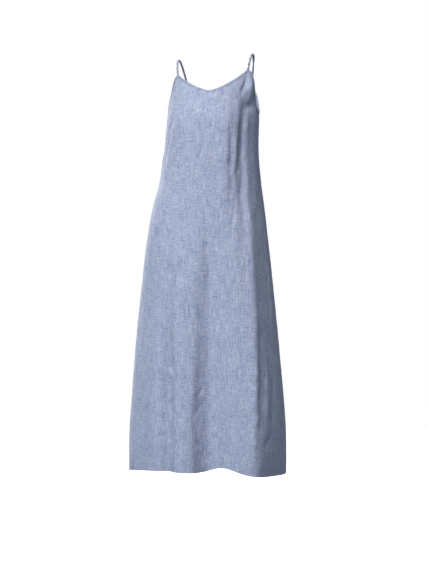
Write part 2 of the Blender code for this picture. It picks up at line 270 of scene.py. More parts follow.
linenLook = {
    "blueThread": (0.120, 0.182, 0.380),
    "whiteThread": (0.612, 0.646, 0.768),
    "threadPitch": 0.00072,
    "stray": (90.0, 80.0, 1.6),  # turns a metre of upright and level threads, and their reach in pitches
    "toneStep": 0.7,  # how far the tone moves on from one thread to the next
    "toneRun": 0.014,  # how far a thread keeps its tone
    "threadArch": 0.45,  # how much a thread sinks where others cross it
    "warpBlue": 0.56,  # how blue the upright threads are, and then the level ones
    "weftBlue": 0.44,
    "threadSpread": 0.60,  # how much single threads differ from each other
    "upStreak": (0.0022, 0.046, 1.05),  # width, length and strength of the upright slubs
    "levelStreak": (0.032, 0.0020, 0.85),
    "whiteSlub": (0.0020, 0.014, 0.60, 2.6),  # width, length, how rare and how white
    "cloud": (0.045, 0.075, 0.13),
    "gapShade": 0.30,  # painted shade: how dark the gaps between threads are; a thread's middle is painted lighter by the next value times as much
    "crownHighlight": 1.5,
    "threadHeight": 0.00010,
    "slubHeight": 0.00022,
    "crinkle": (0.008, 0.016, 0.00045),
    "roughness": 0.86,
    "roughnessSpread": 0.2,
    "sheen": 0.15,
    "sheenRoughness": 0.5,
    "gloss": 0.25,
}


def linenMaterial(name, weaveAngle=0.0, paintedShade=1.0, seed=0.0, hemLine=None):
    look = linenLook
    paint, shader = newPaint(name)
    wire = Wire(paint.node_tree)
    place = wire.node("ShaderNodeUVMap", {"uv_map": "clothMetres"})
    flatX = wire.node("ShaderNodeSeparateXYZ", None, {0: place}, 0)
    flatY = wire.node("ShaderNodeSeparateXYZ", None, {0: place}, 1)
    cosine, sine = math.cos(weaveAngle), math.sin(weaveAngle)
    x = flatX * cosine - flatY * sine
    y = flatX * sine + flatY * cosine
    # Threads wander a little, as hand-spun linen does
    pitch = look["threadPitch"]
    upTurns, levelTurns, reach = look["stray"]
    x = x + wire.sway(x * upTurns, y * upTurns, 1.0, seed) * pitch * reach
    y = y + wire.sway(x * levelTurns, y * levelTurns, 1.0, seed + 7.0) * pitch * reach
    alongX, alongY = x / pitch, y / pitch
    column, row = alongX.floor(), alongY.floor()
    acrossThread, upThread = alongX.fraction(), alongY.fraction()
    warpOver = ((column + row) * 0.5).fraction() * 2.0
    spread = look["threadSpread"] * 2.0
    warpTone = wire.sway(column * look["toneStep"], y / look["toneRun"], 1.0, seed + 3.0)
    weftTone = wire.sway(x / look["toneRun"], row * look["toneStep"], 1.0, seed + 11.0)
    wide, tall, strength = look["upStreak"]
    upSlub = wire.sway(x / wide, y / tall, 2.0, seed + 5.0) * strength
    wide, tall, strength = look["levelStreak"]
    levelSlub = wire.sway(x / wide, y / tall, 2.0, seed + 13.0) * strength
    wide, tall, rare, strength = look["whiteSlub"]
    upright = (wire.noise(x / wide, y / tall, 1.0, seed + 33.0) - rare).clamped()
    level = (wire.noise(x / tall, y / wide, 1.0, seed + 37.0) - rare).clamped()
    whiteSlub = (upright + level) * strength
    wide, tall, strength = look["cloud"]
    cloud = wire.sway(x / wide, y / tall, 2.0, seed + 19.0) * strength
    warpBlue = look["warpBlue"] + warpTone * spread + upSlub
    weftBlue = look["weftBlue"] + weftTone * spread + levelSlub
    blueness = wire.choose(warpOver, weftBlue, warpBlue) + (upSlub + levelSlub) * 0.5 + cloud - whiteSlub
    # The raised middle of each thread and the gaps between threads: they bump the cloth, and paint shade
    # into the gaps and a lighter middle on each thread
    archX = (acrossThread * math.pi).sine()
    archY = (upThread * math.pi).sine()
    sink = look["threadArch"]
    warpRise = archX * (1.0 - sink + sink * archY)
    weftRise = archY * (1.0 - sink + sink * archX)
    threadRise = wire.choose(warpOver, weftRise, warpRise)
    # Painted shade and highlight: colour darker in the gaps between threads and lighter on their middles,
    # times the piece's painted shade
    dim = paintedShade * (1.0 - look["gapShade"] + look["gapShade"] * look["crownHighlight"] * threadRise)
    # Along the hem the colour is a little darker over the turned-up band, and painted shade lies in the
    # groove of the stitch line
    if hemLine is not None:
        onHem = 1.0 - flatY.above(hemLine["top"])
        nearStitch = (1.0 - (flatY - hemLine["stitch"]).size() / hemLine["groove"]).clamped()
        dim = dim * (1.0 - onHem * hemLine["bandShade"]) * (1.0 - nearStitch * hemLine["stitchShade"])
    blue = (*look["blueThread"], 1.0)
    white = (*look["whiteThread"], 1.0)
    threadColour = wire.blend(blueness.clamped(), white, blue)
    shaded = wire.node("ShaderNodeVectorMath", {"operation": "SCALE"}, {0: threadColour, "Scale": dim})
    wide, tall, crinkleHeight = look["crinkle"]
    crinkle = wire.noise(flatX / wide, flatY / tall, 3.0, seed + 29.0)
    slubRise = 0.0 - upSlub - levelSlub
    height = threadRise * look["threadHeight"] + slubRise * look["slubHeight"] + crinkle * crinkleHeight
    setInputs(shader, {
        "Base Color": shaded,
        "Normal": height.bump(),
        "Roughness": look["roughness"] + cloud * look["roughnessSpread"],
        "Sheen Weight": look["sheen"],
        "Sheen Roughness": look["sheenRoughness"],
        "Specular IOR Level": look["gloss"],
    })
    return paint


# the cloth's form

dress = {
    "length": 1.241,
    "wall": 0.0011,
    "hemWall": 0.0021,
    "hemDepth": 0.022,
    "hemStitch": 0.0200,
    "hemRound": 0.0016,
    "hemThin": 0.35,  # share of the wall at the hem's very edge
    "hemLedge": 0.0008,  # height of the step where the hem's second layer ends
    "hemMargin": 0.004,  # the rows stay fine this far above the turn-up
    "seamGap": 0.0003,  # between a tip and its strap
    "sideGap": 0.00004,  # between the panels at a side seam
    "seamDip": 0.0012,  # how far the cloth turns in at the side seams
    "seamDipWidth": 0.0035,
    "stitchDip": 0.0003,
    "stitchDipWidth": 0.0016,
    "underarmZ": -0.163,
    "bodiceZ": -0.202,  # above this the rows follow the upper edge
    "liftReach": 0.30,  # the hem's lifts die away this far up
    "liftMargin": 0.20,  # and over this share of the half width beside a seam
    "hemTilt": 0.003,  # the hem is this much lower at the left seam, and higher at the right one
    "outlineSamples": 241,
}

# Level rings: z, centre x, half width, front depth, back depth, front squareness, back squareness
sections = np.array([
    (-1.257, -0.0260, 0.2370, 0.184, 0.166, 2.45, 2.30),
    (-1.127, -0.0255, 0.2350, 0.178, 0.160, 2.45, 2.30),
    (-0.987, -0.0255, 0.2260, 0.171, 0.153, 2.45, 2.30),
    (-0.837, -0.0265, 0.2132, 0.163, 0.147, 2.45, 2.28),
    (-0.697, -0.0262, 0.1990, 0.156, 0.142, 2.40, 2.25),
    (-0.552, -0.0248, 0.1822, 0.148, 0.138, 2.38, 2.25),
    (-0.447, -0.0218, 0.1662, 0.142, 0.125, 2.34, 2.22),
    (-0.377, -0.0162, 0.1522, 0.139, 0.111, 2.30, 2.20),
    (-0.287, -0.0126, 0.1408, 0.139, 0.104, 2.28, 2.20),
    (-0.187, -0.0075, 0.1366, 0.136, 0.106, 2.26, 2.20),
    (-0.137, -0.0040, 0.1356, 0.121, 0.103, 2.24, 2.20),
    (-0.097, -0.0005, 0.1372, 0.108, 0.096, 2.22, 2.20),
    (-0.053, 0.0016, 0.1445, 0.089, 0.083, 2.20, 2.20),
    (-0.017, 0.0030, 0.1530, 0.070, 0.066, 2.20, 2.20),
])
sectionColumn = {"centre": 1, "half": 2, "front": 3, "back": 4, "frontSquare": 5, "backSquare": 6}

panelEdges = {
    "front": {"dipZ": -0.1090, "tipZ": -0.0530, "tipU": 0.575, "tipHalf": 0.018, "roll": 0.0065,
              "neckPower": 1.45, "leaving": 1.8, "arriving": 4.0},
    "back": {"dipZ": -0.1270, "tipZ": -0.0870, "tipU": 0.530, "tipHalf": 0.018, "roll": 0.0025,
             "neckPower": 2.00, "leaving": 1.8, "arriving": 3.0},
}

# Folds: panel, z top and low, u top and low, rise top and low, near width top and low, far width top and low
runsOut = -1.587  # a fold that ends below the hem has not faded where the cloth ends
folds = [
    # the long crest down the left, from the bust to the hem: a broad swell with a crisper ridge on it
    ("front", -0.177, runsOut, 0.575, 0.420, 0.004, 0.036, 0.040, 0.100, 0.026, 0.070),
    ("front", -0.177, runsOut, 0.582, 0.435, 0.003, 0.009, 0.014, 0.024, 0.010, 0.022),
    # the trough between the knees, the lip on its right edge, and the crest beyond that
    ("front", -0.447, runsOut, 0.105, 0.100, -0.008, -0.060, 0.024, 0.056, 0.024, 0.065),
    ("front", -0.687, runsOut, -0.030, -0.070, 0.004, 0.008, 0.012, 0.018, 0.009, 0.012),
    ("front", -0.487, runsOut, -0.190, -0.130, 0.003, 0.012, 0.030, 0.045, 0.030, 0.045),
    # the trough near the right edge, and the flat face from there to the right side
    ("front", -0.587, runsOut, -0.350, -0.252, -0.005, -0.034, 0.020, 0.032, 0.018, 0.028),
    ("front", -0.487, runsOut, -0.620, -0.580, -0.004, -0.032, 0.060, 0.072, 0.080, 0.100),
    # the trough that falls from the left strap past the bust, and the ridges on either side of it
    ("front", -0.092, -0.627, 0.555, 0.495, -0.0125, -0.009, 0.016, 0.018, 0.040, 0.028),
    ("front", -0.092, -0.627, 0.632, 0.545, 0.0045, 0.005, 0.012, 0.018, 0.014, 0.020),
    ("front", -0.107, -0.507, 0.300, 0.265, 0.003, 0.003, 0.018, 0.020, 0.012, 0.014),
    # flutes of the back, from the seat down, and a hollow between the shoulder blades
    ("back", -0.407, runsOut, -0.560, -0.640, 0.004, 0.020, 0.040, 0.075, 0.035, 0.060),
    ("back", -0.487, runsOut, -0.300, -0.350, -0.004, -0.018, 0.030, 0.060, 0.030, 0.060),
    ("back", -0.367, runsOut, -0.040, -0.060, 0.003, 0.016, 0.045, 0.075, 0.045, 0.070),
    ("back", -0.447, runsOut, 0.220, 0.270, -0.004, -0.020, 0.030, 0.060, 0.030, 0.060),
    ("back", -0.347, runsOut, 0.500, 0.560, 0.004, 0.022, 0.040, 0.070, 0.035, 0.065),
    ("back", -0.137, -0.407, 0.020, 0.020, -0.006, -0.004, 0.050, 0.050, 0.050, 0.050),
]
foldFade = (0.25, 0.30)  # shares of its height over which a fold grows and dies away
foldWander = {"drift": 0.0035, "cell": 0.060, "seed": 92}
creaseWander = {"drift": 0.0028, "cell": 0.022, "seed": 90, "swell": 0.45, "swellSeed": 91}

# Creases, listed one by one: panel, middle u, middle z, half length, near width, far width, degrees off
# upright, rise. Their tops lean to the wearer's left where the degrees are above nought.
creases = [
    # from the left tip down over the chest
    ("front", 0.625, -0.095, 0.030, 0.013, 0.014, -6.0, 0.0085),
    ("front", 0.536, -0.090, 0.026, 0.007, 0.006, 12.0, -0.0068),
    ("front", 0.630, -0.155, 0.017, 0.019, 0.026, -16.0, -0.0040),
    ("front", 0.668, -0.083, 0.028, 0.004, 0.004, -20.0, -0.0026),
    ("front", 0.290, -0.317, 0.085, 0.018, 0.008, -1.0, 0.0048),
    ("front", 0.415, -0.307, 0.080, 0.013, 0.007, 2.0, 0.0042),
    ("front", 0.440, -0.332, 0.045, 0.008, 0.006, 4.0, -0.0022),
    ("front", 0.620, -0.202, 0.022, 0.010, 0.008, 12.0, 0.0018),
    ("front", 0.560, -0.287, 0.030, 0.007, 0.007, -8.0, -0.0014),
    # ripples down the front
    ("front", 0.215, -0.287, 0.080, 0.014, 0.014, -1.0, 0.0025),
    ("front", 0.098, -0.317, 0.028, 0.007, 0.007, 0.0, -0.0014),
    ("front", -0.048, -0.297, 0.028, 0.005, 0.004, 18.0, -0.0018),
    ("front", 0.030, -0.282, 0.030, 0.008, 0.008, 0.0, 0.0015),
    ("front", -0.125, -0.191, 0.040, 0.007, 0.007, -8.0, -0.0017),
    ("front", -0.262, -0.194, 0.037, 0.008, 0.008, -10.0, -0.0020),
    ("front", -0.380, -0.297, 0.150, 0.012, 0.014, 8.0, 0.0042),
    ("front", -0.580, -0.230, 0.080, 0.012, 0.01, 9.0, -0.0031),
    # below the waist
    ("front", 0.077, -0.554, 0.042, 0.012, 0.005, -5.0, -0.0034),
    ("front", 0.108, -0.657, 0.068, 0.010, 0.0035, -5.0, -0.0028),
    ("front", 0.363, -0.504, 0.068, 0.006, 0.006, 6.0, -0.0025),
    ("front", 0.343, -0.711, 0.035, 0.006, 0.005, 4.0, -0.0015),
    ("front", 0.465, -0.647, 0.026, 0.005, 0.004, 5.0, -0.0015),
    ("front", -0.400, -0.587, 0.080, 0.010, 0.012, 4.0, 0.0022),
    # the crest on the skirt's left, sharpened, and the trough near the right edge, deepened
    ("front", 0.498, -0.960, 0.330, 0.024, 0.008, 4.6, 0.0044),
    ("front", -0.268, -0.950, 0.210, 0.026, 0.009, -2.0, -0.0104),
    # in the skirt's middle fold
    ("front", 0.030, -1.182, 0.045, 0.014, 0.014, -15.0, -0.0030),
    ("front", 0.080, -0.866, 0.038, 0.006, 0.003, -3.0, -0.0020),
    ("front", 0.015, -0.993, 0.018, 0.006, 0.005, 31.0, -0.0020),
    ("front", 0.000, -1.045, 0.038, 0.008, 0.006, 30.0, -0.0026),
    ("front", -0.040, -1.098, 0.036, 0.006, 0.008, -2.0, -0.0026),
    ("front", 0.012, -1.155, 0.030, 0.008, 0.007, -24.0, -0.0026),
    ("front", 0.080, -1.187, 0.018, 0.007, 0.006, 46.0, -0.0016),
    ("front", -0.035, -0.999, 0.020, 0.008, 0.008, 0.0, 0.0022),
    ("front", 0.032, -1.094, 0.020, 0.008, 0.008, 0.0, 0.0024),
    ("front", 0.125, -1.098, 0.062, 0.012, 0.012, 0.0, 0.0022),
    # on the skirt's sides
    ("front", 0.620, -1.007, 0.080, 0.009, 0.008, 6.0, 0.0046),
    ("front", 0.695, -1.034, 0.075, 0.008, 0.01, 9.0, -0.0028),
    ("front", 0.598, -1.140, 0.028, 0.010, 0.009, 40.0, -0.0020),
    ("front", 0.525, -1.046, 0.090, 0.008, 0.008, 5.0, -0.0022),
    ("front", 0.322, -1.133, 0.070, 0.007, 0.007, 3.0, -0.0016),
    ("front", 0.840, -0.687, 0.110, 0.010, 0.014, 5.0, 0.0030),
    ("front", 0.880, -0.317, 0.060, 0.008, 0.01, -14.0, -0.0022),
    ("front", -0.760, -0.847, 0.120, 0.012, 0.01, -4.0, -0.0028),
    ("front", -0.820, -0.317, 0.055, 0.009, 0.009, 12.0, 0.0020),
    # on the back
    ("back", 0.580, -0.217, 0.060, 0.010, 0.013, 10.0, 0.0048),
    ("back", 0.460, -0.247, 0.055, 0.008, 0.01, 16.0, -0.0042),
    ("back", -0.500, -0.227, 0.065, 0.012, 0.009, -13.0, 0.0042),
    ("back", -0.380, -0.277, 0.050, 0.007, 0.009, -20.0, -0.0034),
    ("back", 0.080, -0.287, 0.090, 0.010, 0.012, 2.0, 0.0022),
    ("back", -0.110, -0.337, 0.060, 0.006, 0.005, -4.0, -0.0020),
    ("back", 0.200, -0.407, 0.045, 0.005, 0.007, 7.0, -0.0020),
    ("back", -0.280, -0.547, 0.080, 0.006, 0.01, -5.0, -0.0031),
    ("back", 0.350, -0.587, 0.070, 0.010, 0.006, 6.0, -0.0028),
    ("back", 0.050, -0.687, 0.090, 0.008, 0.005, 3.0, -0.0025),
    ("back", -0.600, -0.747, 0.090, 0.008, 0.01, -7.0, 0.0039),
    ("back", 0.720, -0.807, 0.100, 0.010, 0.008, 5.0, 0.0042),
    ("back", -0.100, -0.947, 0.040, 0.006, 0.005, 28.0, -0.0042),
    ("back", -0.140, -1.047, 0.036, 0.006, 0.006, -22.0, -0.0039),
    ("back", 0.290, -0.977, 0.050, 0.006, 0.008, -12.0, -0.0036),
    ("back", 0.260, -1.097, 0.034, 0.005, 0.006, 24.0, -0.0036),
    ("back", 0.500, -1.077, 0.070, 0.009, 0.008, 4.0, 0.0034),
    ("back", -0.420, -1.107, 0.060, 0.008, 0.008, -6.0, 0.0034),
    ("back", 0.080, -1.147, 0.040, 0.006, 0.006, -8.0, -0.0025),
]

hemLifts = [  # panel, place u, half width u, rise
    ("front", -0.300, 0.500, 0.011),
    ("front", 0.225, 0.150, 0.021),
    ("back", 0.100, 0.350, 0.004),
]


def evenRise(t):
    t = np.clip(t, 0.0, 1.0)
    return t * t * (3.0 - 2.0 * t)


def sectionValue(name, z):
    knots, values = sections[:, 0], sections[:, sectionColumn[name]]
    slopes = np.gradient(values, knots)
    i = np.clip(np.searchsorted(knots, z) - 1, 0, len(knots) - 2)
    step = knots[i + 1] - knots[i]
    t = np.clip((z - knots[i]) / step, 0.0, 1.0)
    rest = 1.0 - t
    starts = (1.0 + 2.0 * t) * rest**2 * values[i] + t * rest**2 * step * slopes[i]
    ends = t**2 * (3.0 - 2.0 * t) * values[i + 1] - t**2 * rest * step * slopes[i + 1]
    return starts + ends


def ringReach(angle, half, depth, square):
    across, deep = np.abs(np.cos(angle) / half) ** square, np.abs(np.sin(angle) / depth) ** square
    return (across + deep) ** (-1.0 / square)


def ringAngle(u, half, depth, square):
    shape = u.shape
    u, half, depth, square = (np.ravel(a) for a in (u, half, depth, square))
    grid = np.linspace(0.0, math.pi, dress["outlineSamples"])
    reach = ringReach(grid, half[:, None], depth[:, None], square[:, None])
    steps = np.hypot(np.diff(reach * np.cos(grid)), np.diff(reach * np.sin(grid)))
    run = np.concatenate([np.zeros((len(u), 1)), np.cumsum(steps, axis=1)], axis=1)
    gap = dress["sideGap"]
    target = gap / 2 + (1.0 - u) / 2 * (run[:, -1] - gap)
    i = np.clip((run < target[:, None]).sum(axis=1) - 1, 0, len(grid) - 2)
    each = np.arange(len(u))
    share = (target - run[each, i]) / (run[each, i + 1] - run[each, i])
    return (grid[i] + share * (grid[1] - grid[0])).reshape(shape), (run[:, -1] / 2).reshape(shape)


def foldRise(panel, u, z, halfArc):
    total = np.zeros(z.shape)
    drift = foldWander["drift"] * wander(u, z, halfArc, foldWander["cell"], foldWander["seed"])
    for owner, zTop, zLow, uTop, uLow, riseTop, riseLow, nearTop, nearLow, farTop, farLow in folds:
        if owner != panel:
            continue
        t = np.clip((zTop - z) / (zTop - zLow), 0.0, 1.0)
        away = (u - uTop - (uLow - uTop) * t) * halfArc + drift
        width = np.where(away < 0.0, nearTop + (nearLow - nearTop) * t, farTop + (farLow - farTop) * t)
        fade = evenRise(t / foldFade[0]) * evenRise((1.0 - t) / foldFade[1])
        total += (riseTop + (riseLow - riseTop) * t) * fade * np.exp(-((away / width) ** 2))
    return total


def wander(u, z, halfArc, cell, seed):  # keeps folds and creases from running like ruled lines
    return latticeNoise(u * halfArc, z, cell, cell, seed)


def creaseRise(panel, u, z, halfArc):
    total = np.zeros(z.shape)
    cell = creaseWander["cell"]
    drift = creaseWander["drift"] * wander(u, z, halfArc, cell, creaseWander["seed"])
    swell = 1.0 + creaseWander["swell"] * wander(u, z, halfArc, cell, creaseWander["swellSeed"])
    for owner, middleU, middleZ, halfLength, near, far, lean, rise in creases:
        if owner != panel:
            continue
        lean = math.radians(lean)
        aside, above = (u - middleU) * halfArc + drift, z - middleZ
        along = above * math.cos(lean) + aside * math.sin(lean)
        across = aside * math.cos(lean) - above * math.sin(lean)
        width = np.where(across < 0.0, near, far)
        total += rise * np.exp(-((along / halfLength) ** 2) - (across / width) ** 2)
    return total * swell


latticeSize = 256


def latticeNoise(x, y, cellX, cellY, seed):  # smooth noise from -1 to 1, the same on each run
    lattice = np.random.RandomState(seed).uniform(-1.0, 1.0, (latticeSize + 1, latticeSize + 1))
    x, y = x / cellX + latticeSize / 4, y / cellY + latticeSize / 4
    i, j = np.floor(x).astype(int), np.floor(y).astype(int)
    a, b = evenRise(x - i), evenRise(y - j)
    i, j = i % latticeSize, j % latticeSize
    low = lattice[i, j] * (1 - a) + lattice[i + 1, j] * a
    high = lattice[i, j + 1] * (1 - a) + lattice[i + 1, j + 1] * a
    return low * (1 - b) + high * b


crumple = [  # cell across, cell up, height, ridged or not
    (0.055, 0.190, 0.0009, False),
    (0.020, 0.120, 0.00050, False),
    (0.011, 0.070, 0.00022, False),
    (0.034, 0.060, 0.00060, True),
    (0.011, 0.018, 0.00010, False),
]
crumpleLook = {
    "frontSeed": 20,
    "backSeed": 30,
    "crossSeed": 60,
    "crossSlant": 0.35,
    "crossStretch": 1.3,
    "ridgePower": 0.7,
    "seamFade": 0.02,  # it dies away over this much cloth beside a side seam
    "topFade": 0.03,  # and below the upper edge, where this share of it stays
    "topShare": 0.25,
}


def crumpleRise(panel, u, z, halfArc):
    total = np.zeros(z.shape)
    look = crumpleLook
    x = u * halfArc
    for k, (cellX, cellY, height, ridged) in enumerate(crumple):
        value = latticeNoise(x, z, cellX, cellY, look[panel + "Seed"] + k)
        if ridged:
            cross = x + z * look["crossSlant"]
            other = latticeNoise(cross, z, cellX * look["crossStretch"], cellY, look["crossSeed"] + k)
            value = 1.0 - 2.0 * np.minimum(np.abs(value), np.abs(other)) ** look["ridgePower"]
        total += height * value
    seamFade = evenRise((1.0 - np.abs(u)) * halfArc / look["seamFade"])
    below = evenRise((topEdge(panel, u) - z) / look["topFade"])
    return total * seamFade * (look["topShare"] + (1.0 - look["topShare"]) * below)


def clothPoint(panel, u, z):
    u, z = np.broadcast_arrays(np.asarray(u, float), np.asarray(z, float))
    half, depth = sectionValue("half", z), sectionValue(panel, z)
    square = sectionValue(panel + "Square", z)
    facing = -1.0 if panel == "front" else 1.0
    angle, halfArc = ringAngle(u, half, depth, square)
    reach = ringReach(angle, half, depth, square)
    x, y = reach * np.cos(angle), reach * np.sin(angle)
    normalX = np.sign(x) * np.abs(x / half) ** (square - 1.0) / half
    normalY = np.sign(y) * np.abs(y / depth) ** (square - 1.0) / depth
    length = np.hypot(normalX, normalY)
    rise = foldRise(panel, u, z, halfArc) + creaseRise(panel, u, z, halfArc)
    rise = rise + crumpleRise(panel, u, z, halfArc)
    x = x + rise * normalX / length + sectionValue("centre", z)
    y = facing * (y + rise * normalY / length)
    return np.stack([x, y, z], axis=-1)


def unit(vectors):
    return vectors / np.linalg.norm(vectors, axis=-1, keepdims=True)


def runAlong(points):  # how far along the line each point is
    return np.concatenate([[0.0], np.cumsum(np.linalg.norm(np.diff(points, axis=0), axis=1))])


def clothSlopes(panel, u, z, step=2e-4):
    byU = (clothPoint(panel, u + step, z) - clothPoint(panel, u - step, z)) / (2 * step)
    byZ = (clothPoint(panel, u, z + step) - clothPoint(panel, u, z - step)) / (2 * step)
    return byU, byZ


def clothNormal(panel, u, z):
    byU, byZ = clothSlopes(panel, u, z)
    return unit(np.cross(byU, byZ)) * (1.0 if panel == "front" else -1.0)


def tipSides(panel):
    edge = panelEdges[panel]
    return edge["tipU"] - edge["tipHalf"], edge["tipU"] + edge["tipHalf"]


def topEdge(panel, u):
    edge = panelEdges[panel]
    side = np.abs(u)
    lean = edge["roll"] * np.sign(u)
    inner, outer = tipSides(panel)
    neckShare = np.clip(side / inner, 0.0, 1.0)
    armShare = np.clip((side - outer) / (1.0 - outer), 0.0, 1.0)
    tip = edge["tipZ"] + lean
    neck = edge["dipZ"] + (tip - edge["dipZ"]) * neckShare ** edge["neckPower"]
    fall = 1.0 - (1.0 - armShare ** edge["leaving"]) ** edge["arriving"]
    return np.where(side < edge["tipU"], neck, tip + (dress["underarmZ"] - tip) * fall)


def hemLift(panel, u):
    total = np.zeros(np.shape(u))
    for owner, place, halfWidth, rise in hemLifts:
        if owner == panel:
            total = total + rise * np.exp(-(((u - place) / halfWidth) ** 2))
    return total * evenRise((1.0 - np.abs(u)) / dress["liftMargin"]) - dress["hemTilt"] * u


# the panels

panelGrid = {
    "front": {"side": 42, "tip": 2, "neck": 152, "hemRows": 24, "skirtRows": 228, "bodiceRows": 40},
    "back": {"side": 40, "tip": 2, "neck": 140, "hemRows": 24, "skirtRows": 210, "bodiceRows": 34},
}


def panelColumns(panel):
    grid = panelGrid[panel]
    inner, outer = tipSides(panel)
    side = np.linspace(outer, 1.0, grid["side"] + 1)
    tip = np.linspace(inner, outer, grid["tip"] + 1)[1:-1]
    neck = np.linspace(-inner, inner, grid["neck"] + 1)
    columns = np.concatenate([-side[::-1], -tip[::-1], neck, tip, side])
    return columns if panel == "front" else columns[::-1]


def panelLevels(panel, columns):
    grid = panelGrid[panel]
    hem = -dress["length"]
    hemTop = hem + dress["hemDepth"] + dress["hemMargin"]
    low = np.linspace(hem, hemTop, grid["hemRows"] + 1)
    skirt = np.linspace(hemTop, dress["bodiceZ"], grid["skirtRows"] + 1)[1:]
    levels = np.concatenate([low, skirt])
    lift = hemLift(panel, columns)[:, None] * evenRise(1.0 - (levels - hem) / dress["liftReach"])
    share = np.linspace(0.0, 1.0, grid["bodiceRows"] + 1)[1:]
    bodice = dress["bodiceZ"] + (topEdge(panel, columns)[:, None] - dress["bodiceZ"]) * share
    flat = np.concatenate([np.broadcast_to(levels, lift.shape), bodice], axis=1)
    return np.concatenate([levels + lift, bodice], axis=1), flat


def gridNormals(points):
    byU, byZ = np.gradient(points, axis=0), np.gradient(points, axis=1)
    return unit(np.cross(byU, byZ))


def shellFaces(columns, rows):
    # The inner sheet has every other column and row of the outer one
    innerRows = rows // 2 + 1
    start = columns * rows

    def outer(i, j):
        return i * rows + j

    def inner(i, j):
        return start + (i // 2) * innerRows + j // 2

    faces = []
    for i in range(columns - 1):
        for j in range(rows - 1):
            faces.append((outer(i, j), outer(i + 1, j), outer(i + 1, j + 1), outer(i, j + 1)))
    for i in range(0, columns - 1, 2):
        for j in range(0, rows - 1, 2):
            faces.append((inner(i, j), inner(i, j + 2), inner(i + 2, j + 2), inner(i + 2, j)))
    loop = [(i, 0) for i in range(columns)] + [(columns - 1, j) for j in range(1, rows)]
    loop += [(i, rows - 1) for i in range(columns - 2, -1, -1)] + [(0, j) for j in range(rows - 2, 0, -1)]
    for k in range(0, len(loop), 2):
        here, between, there = loop[k], loop[k + 1], loop[(k + 2) % len(loop)]
        faces.append((outer(*there), outer(*between), outer(*here), inner(*here), inner(*there)))
    return faces


sharpAngle = {"panel": 40.0, "swept": 60.0}  # degrees between faces past which an edge shows sharp


def newPiece(name, points, faces, coordinates, material, kind):
    mesh = bpy.data.meshes.new(name)
    mesh.from_pydata(points.tolist(), [], faces)
    layer = mesh.uv_layers.new(name="clothMetres")
    corners = np.empty(len(mesh.loops), dtype=int)
    mesh.loops.foreach_get("vertex_index", corners)
    layer.data.foreach_set("uv", coordinates[corners].ravel())
    mesh.materials.append(material)
    mesh.shade_smooth()
    mesh.set_sharp_from_angle(angle=math.radians(sharpAngle[kind]))
    piece = newObject(name, mesh)
    return piece


def standFor(piece, node):
    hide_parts(node)
    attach(piece, "root")
    return piece


panelParts = {}  # each panel's points, for its sewing and its cut


def makePanel(panel, name, node, material):
    columns = panelColumns(panel)
    heights, flatZ = panelLevels(panel, columns)
    u = np.broadcast_to(columns[:, None], heights.shape)
    points = clothPoint(panel, u, heights)
    normals = gridNormals(points)
    aboveHem = flatZ + dress["length"]
    centre = np.argmin(np.abs(columns))
    steps = np.hypot(np.diff(points[:, :, 0], axis=0), np.diff(points[:, :, 1], axis=0))
    run = np.concatenate([np.zeros((1, steps.shape[1])), np.cumsum(steps, axis=0)])
    run = run - run[centre]
    # Dips along the hem's stitches and at the side seams
    dip = dress["stitchDip"] * np.exp(-(((aboveHem - dress["hemStitch"]) / dress["stitchDipWidth"]) ** 2))
    toSeam = np.minimum(run - run[0], run[-1] - run)
    dip = dip + dress["seamDip"] * np.exp(-((toSeam / dress["seamDipWidth"]) ** 2))
    points = points - normals * dip[..., None]
    ledge = evenRise((dress["hemDepth"] - aboveHem) / dress["hemLedge"])
    wall = dress["wall"] + (dress["hemWall"] - dress["wall"]) * ledge
    wall = wall * (dress["hemThin"] + (1.0 - dress["hemThin"]) * evenRise(aboveHem / dress["hemRound"]))
    inner = (points - normals * wall[..., None])[::2, ::2]
    facePoints = np.concatenate([points.reshape(-1, 3), inner.reshape(-1, 3)])
    flat = np.stack([run, aboveHem], axis=-1)
    flat = np.concatenate([flat.reshape(-1, 2), flat[::2, ::2].reshape(-1, 2)])
    piece = newPiece(name, facePoints, shellFaces(*heights.shape), flat, material, "panel")
    panelParts[panel] = {"points": points, "normals": normals, "aboveHem": aboveHem, "run": run}
    return standFor(piece, node)


hemLine = {
    "top": dress["hemDepth"],
    "stitch": dress["hemStitch"],
    "groove": 0.0012,
    # how much darker the turned-up band is, and how dark the painted shade in the stitch groove is
    "bandShade": 0.02,
    "stitchShade": 0.10,
}
frontLinen = linenMaterial("frontLinen", seed=0.0, hemLine=hemLine)
backLinen = linenMaterial("backLinen", seed=40.0, hemLine=hemLine)  # cut from another stretch of the cloth
frontCloth = makePanel("front", "frontCloth", "front_panel", frontLinen)
backCloth = makePanel("back", "backCloth", "back_panel", backLinen)
print("panels made")


# bindings and straps

binding = {
    "width": 0.006,
    "wall": 0.0007,
    "gap": 0.0002,
    "stations": 150,
    "measuring": 4,  # points for each station while the edge is measured
    "legs": (0.0, 0.33, 0.66, 1.0),  # shares of the width where a leg follows the cloth
    "legWalls": (1.0, 1.0, 1.0, 0.45),  # and how much of its wall it has there
    "overTop": (0.25, 0.5, 0.75),  # shares of the half turn over the edge
}


def sweptFaces(stations, sides):
    faces = []
    for i in range(stations - 1):
        for j in range(sides):
            k = (j + 1) % sides
            faces.append((i * sides + j, i * sides + k, (i + 1) * sides + k, (i + 1) * sides + j))
    faces.append(tuple(reversed(range(sides))))
    faces.append(tuple((stations - 1) * sides + j for j in range(sides)))
    return faces


def facingOut(points, faces):
    centre = points.mean(axis=0)
    volume = 0.0
    for face in faces:
        a = points[face[0]] - centre
        for b, c in zip(face[1:-1], face[2:]):
            volume += np.dot(a, np.cross(points[b] - centre, points[c] - centre))
    return faces if volume > 0 else [tuple(reversed(face)) for face in faces]


def edgeStations(panel, uFrom, uTo, count):
    u = np.linspace(uFrom, uTo, count * binding["measuring"])
    points = clothPoint(panel, u, topEdge(panel, u))
    run = runAlong(points)
    return np.interp(np.linspace(0.0, run[-1], count), run, u)


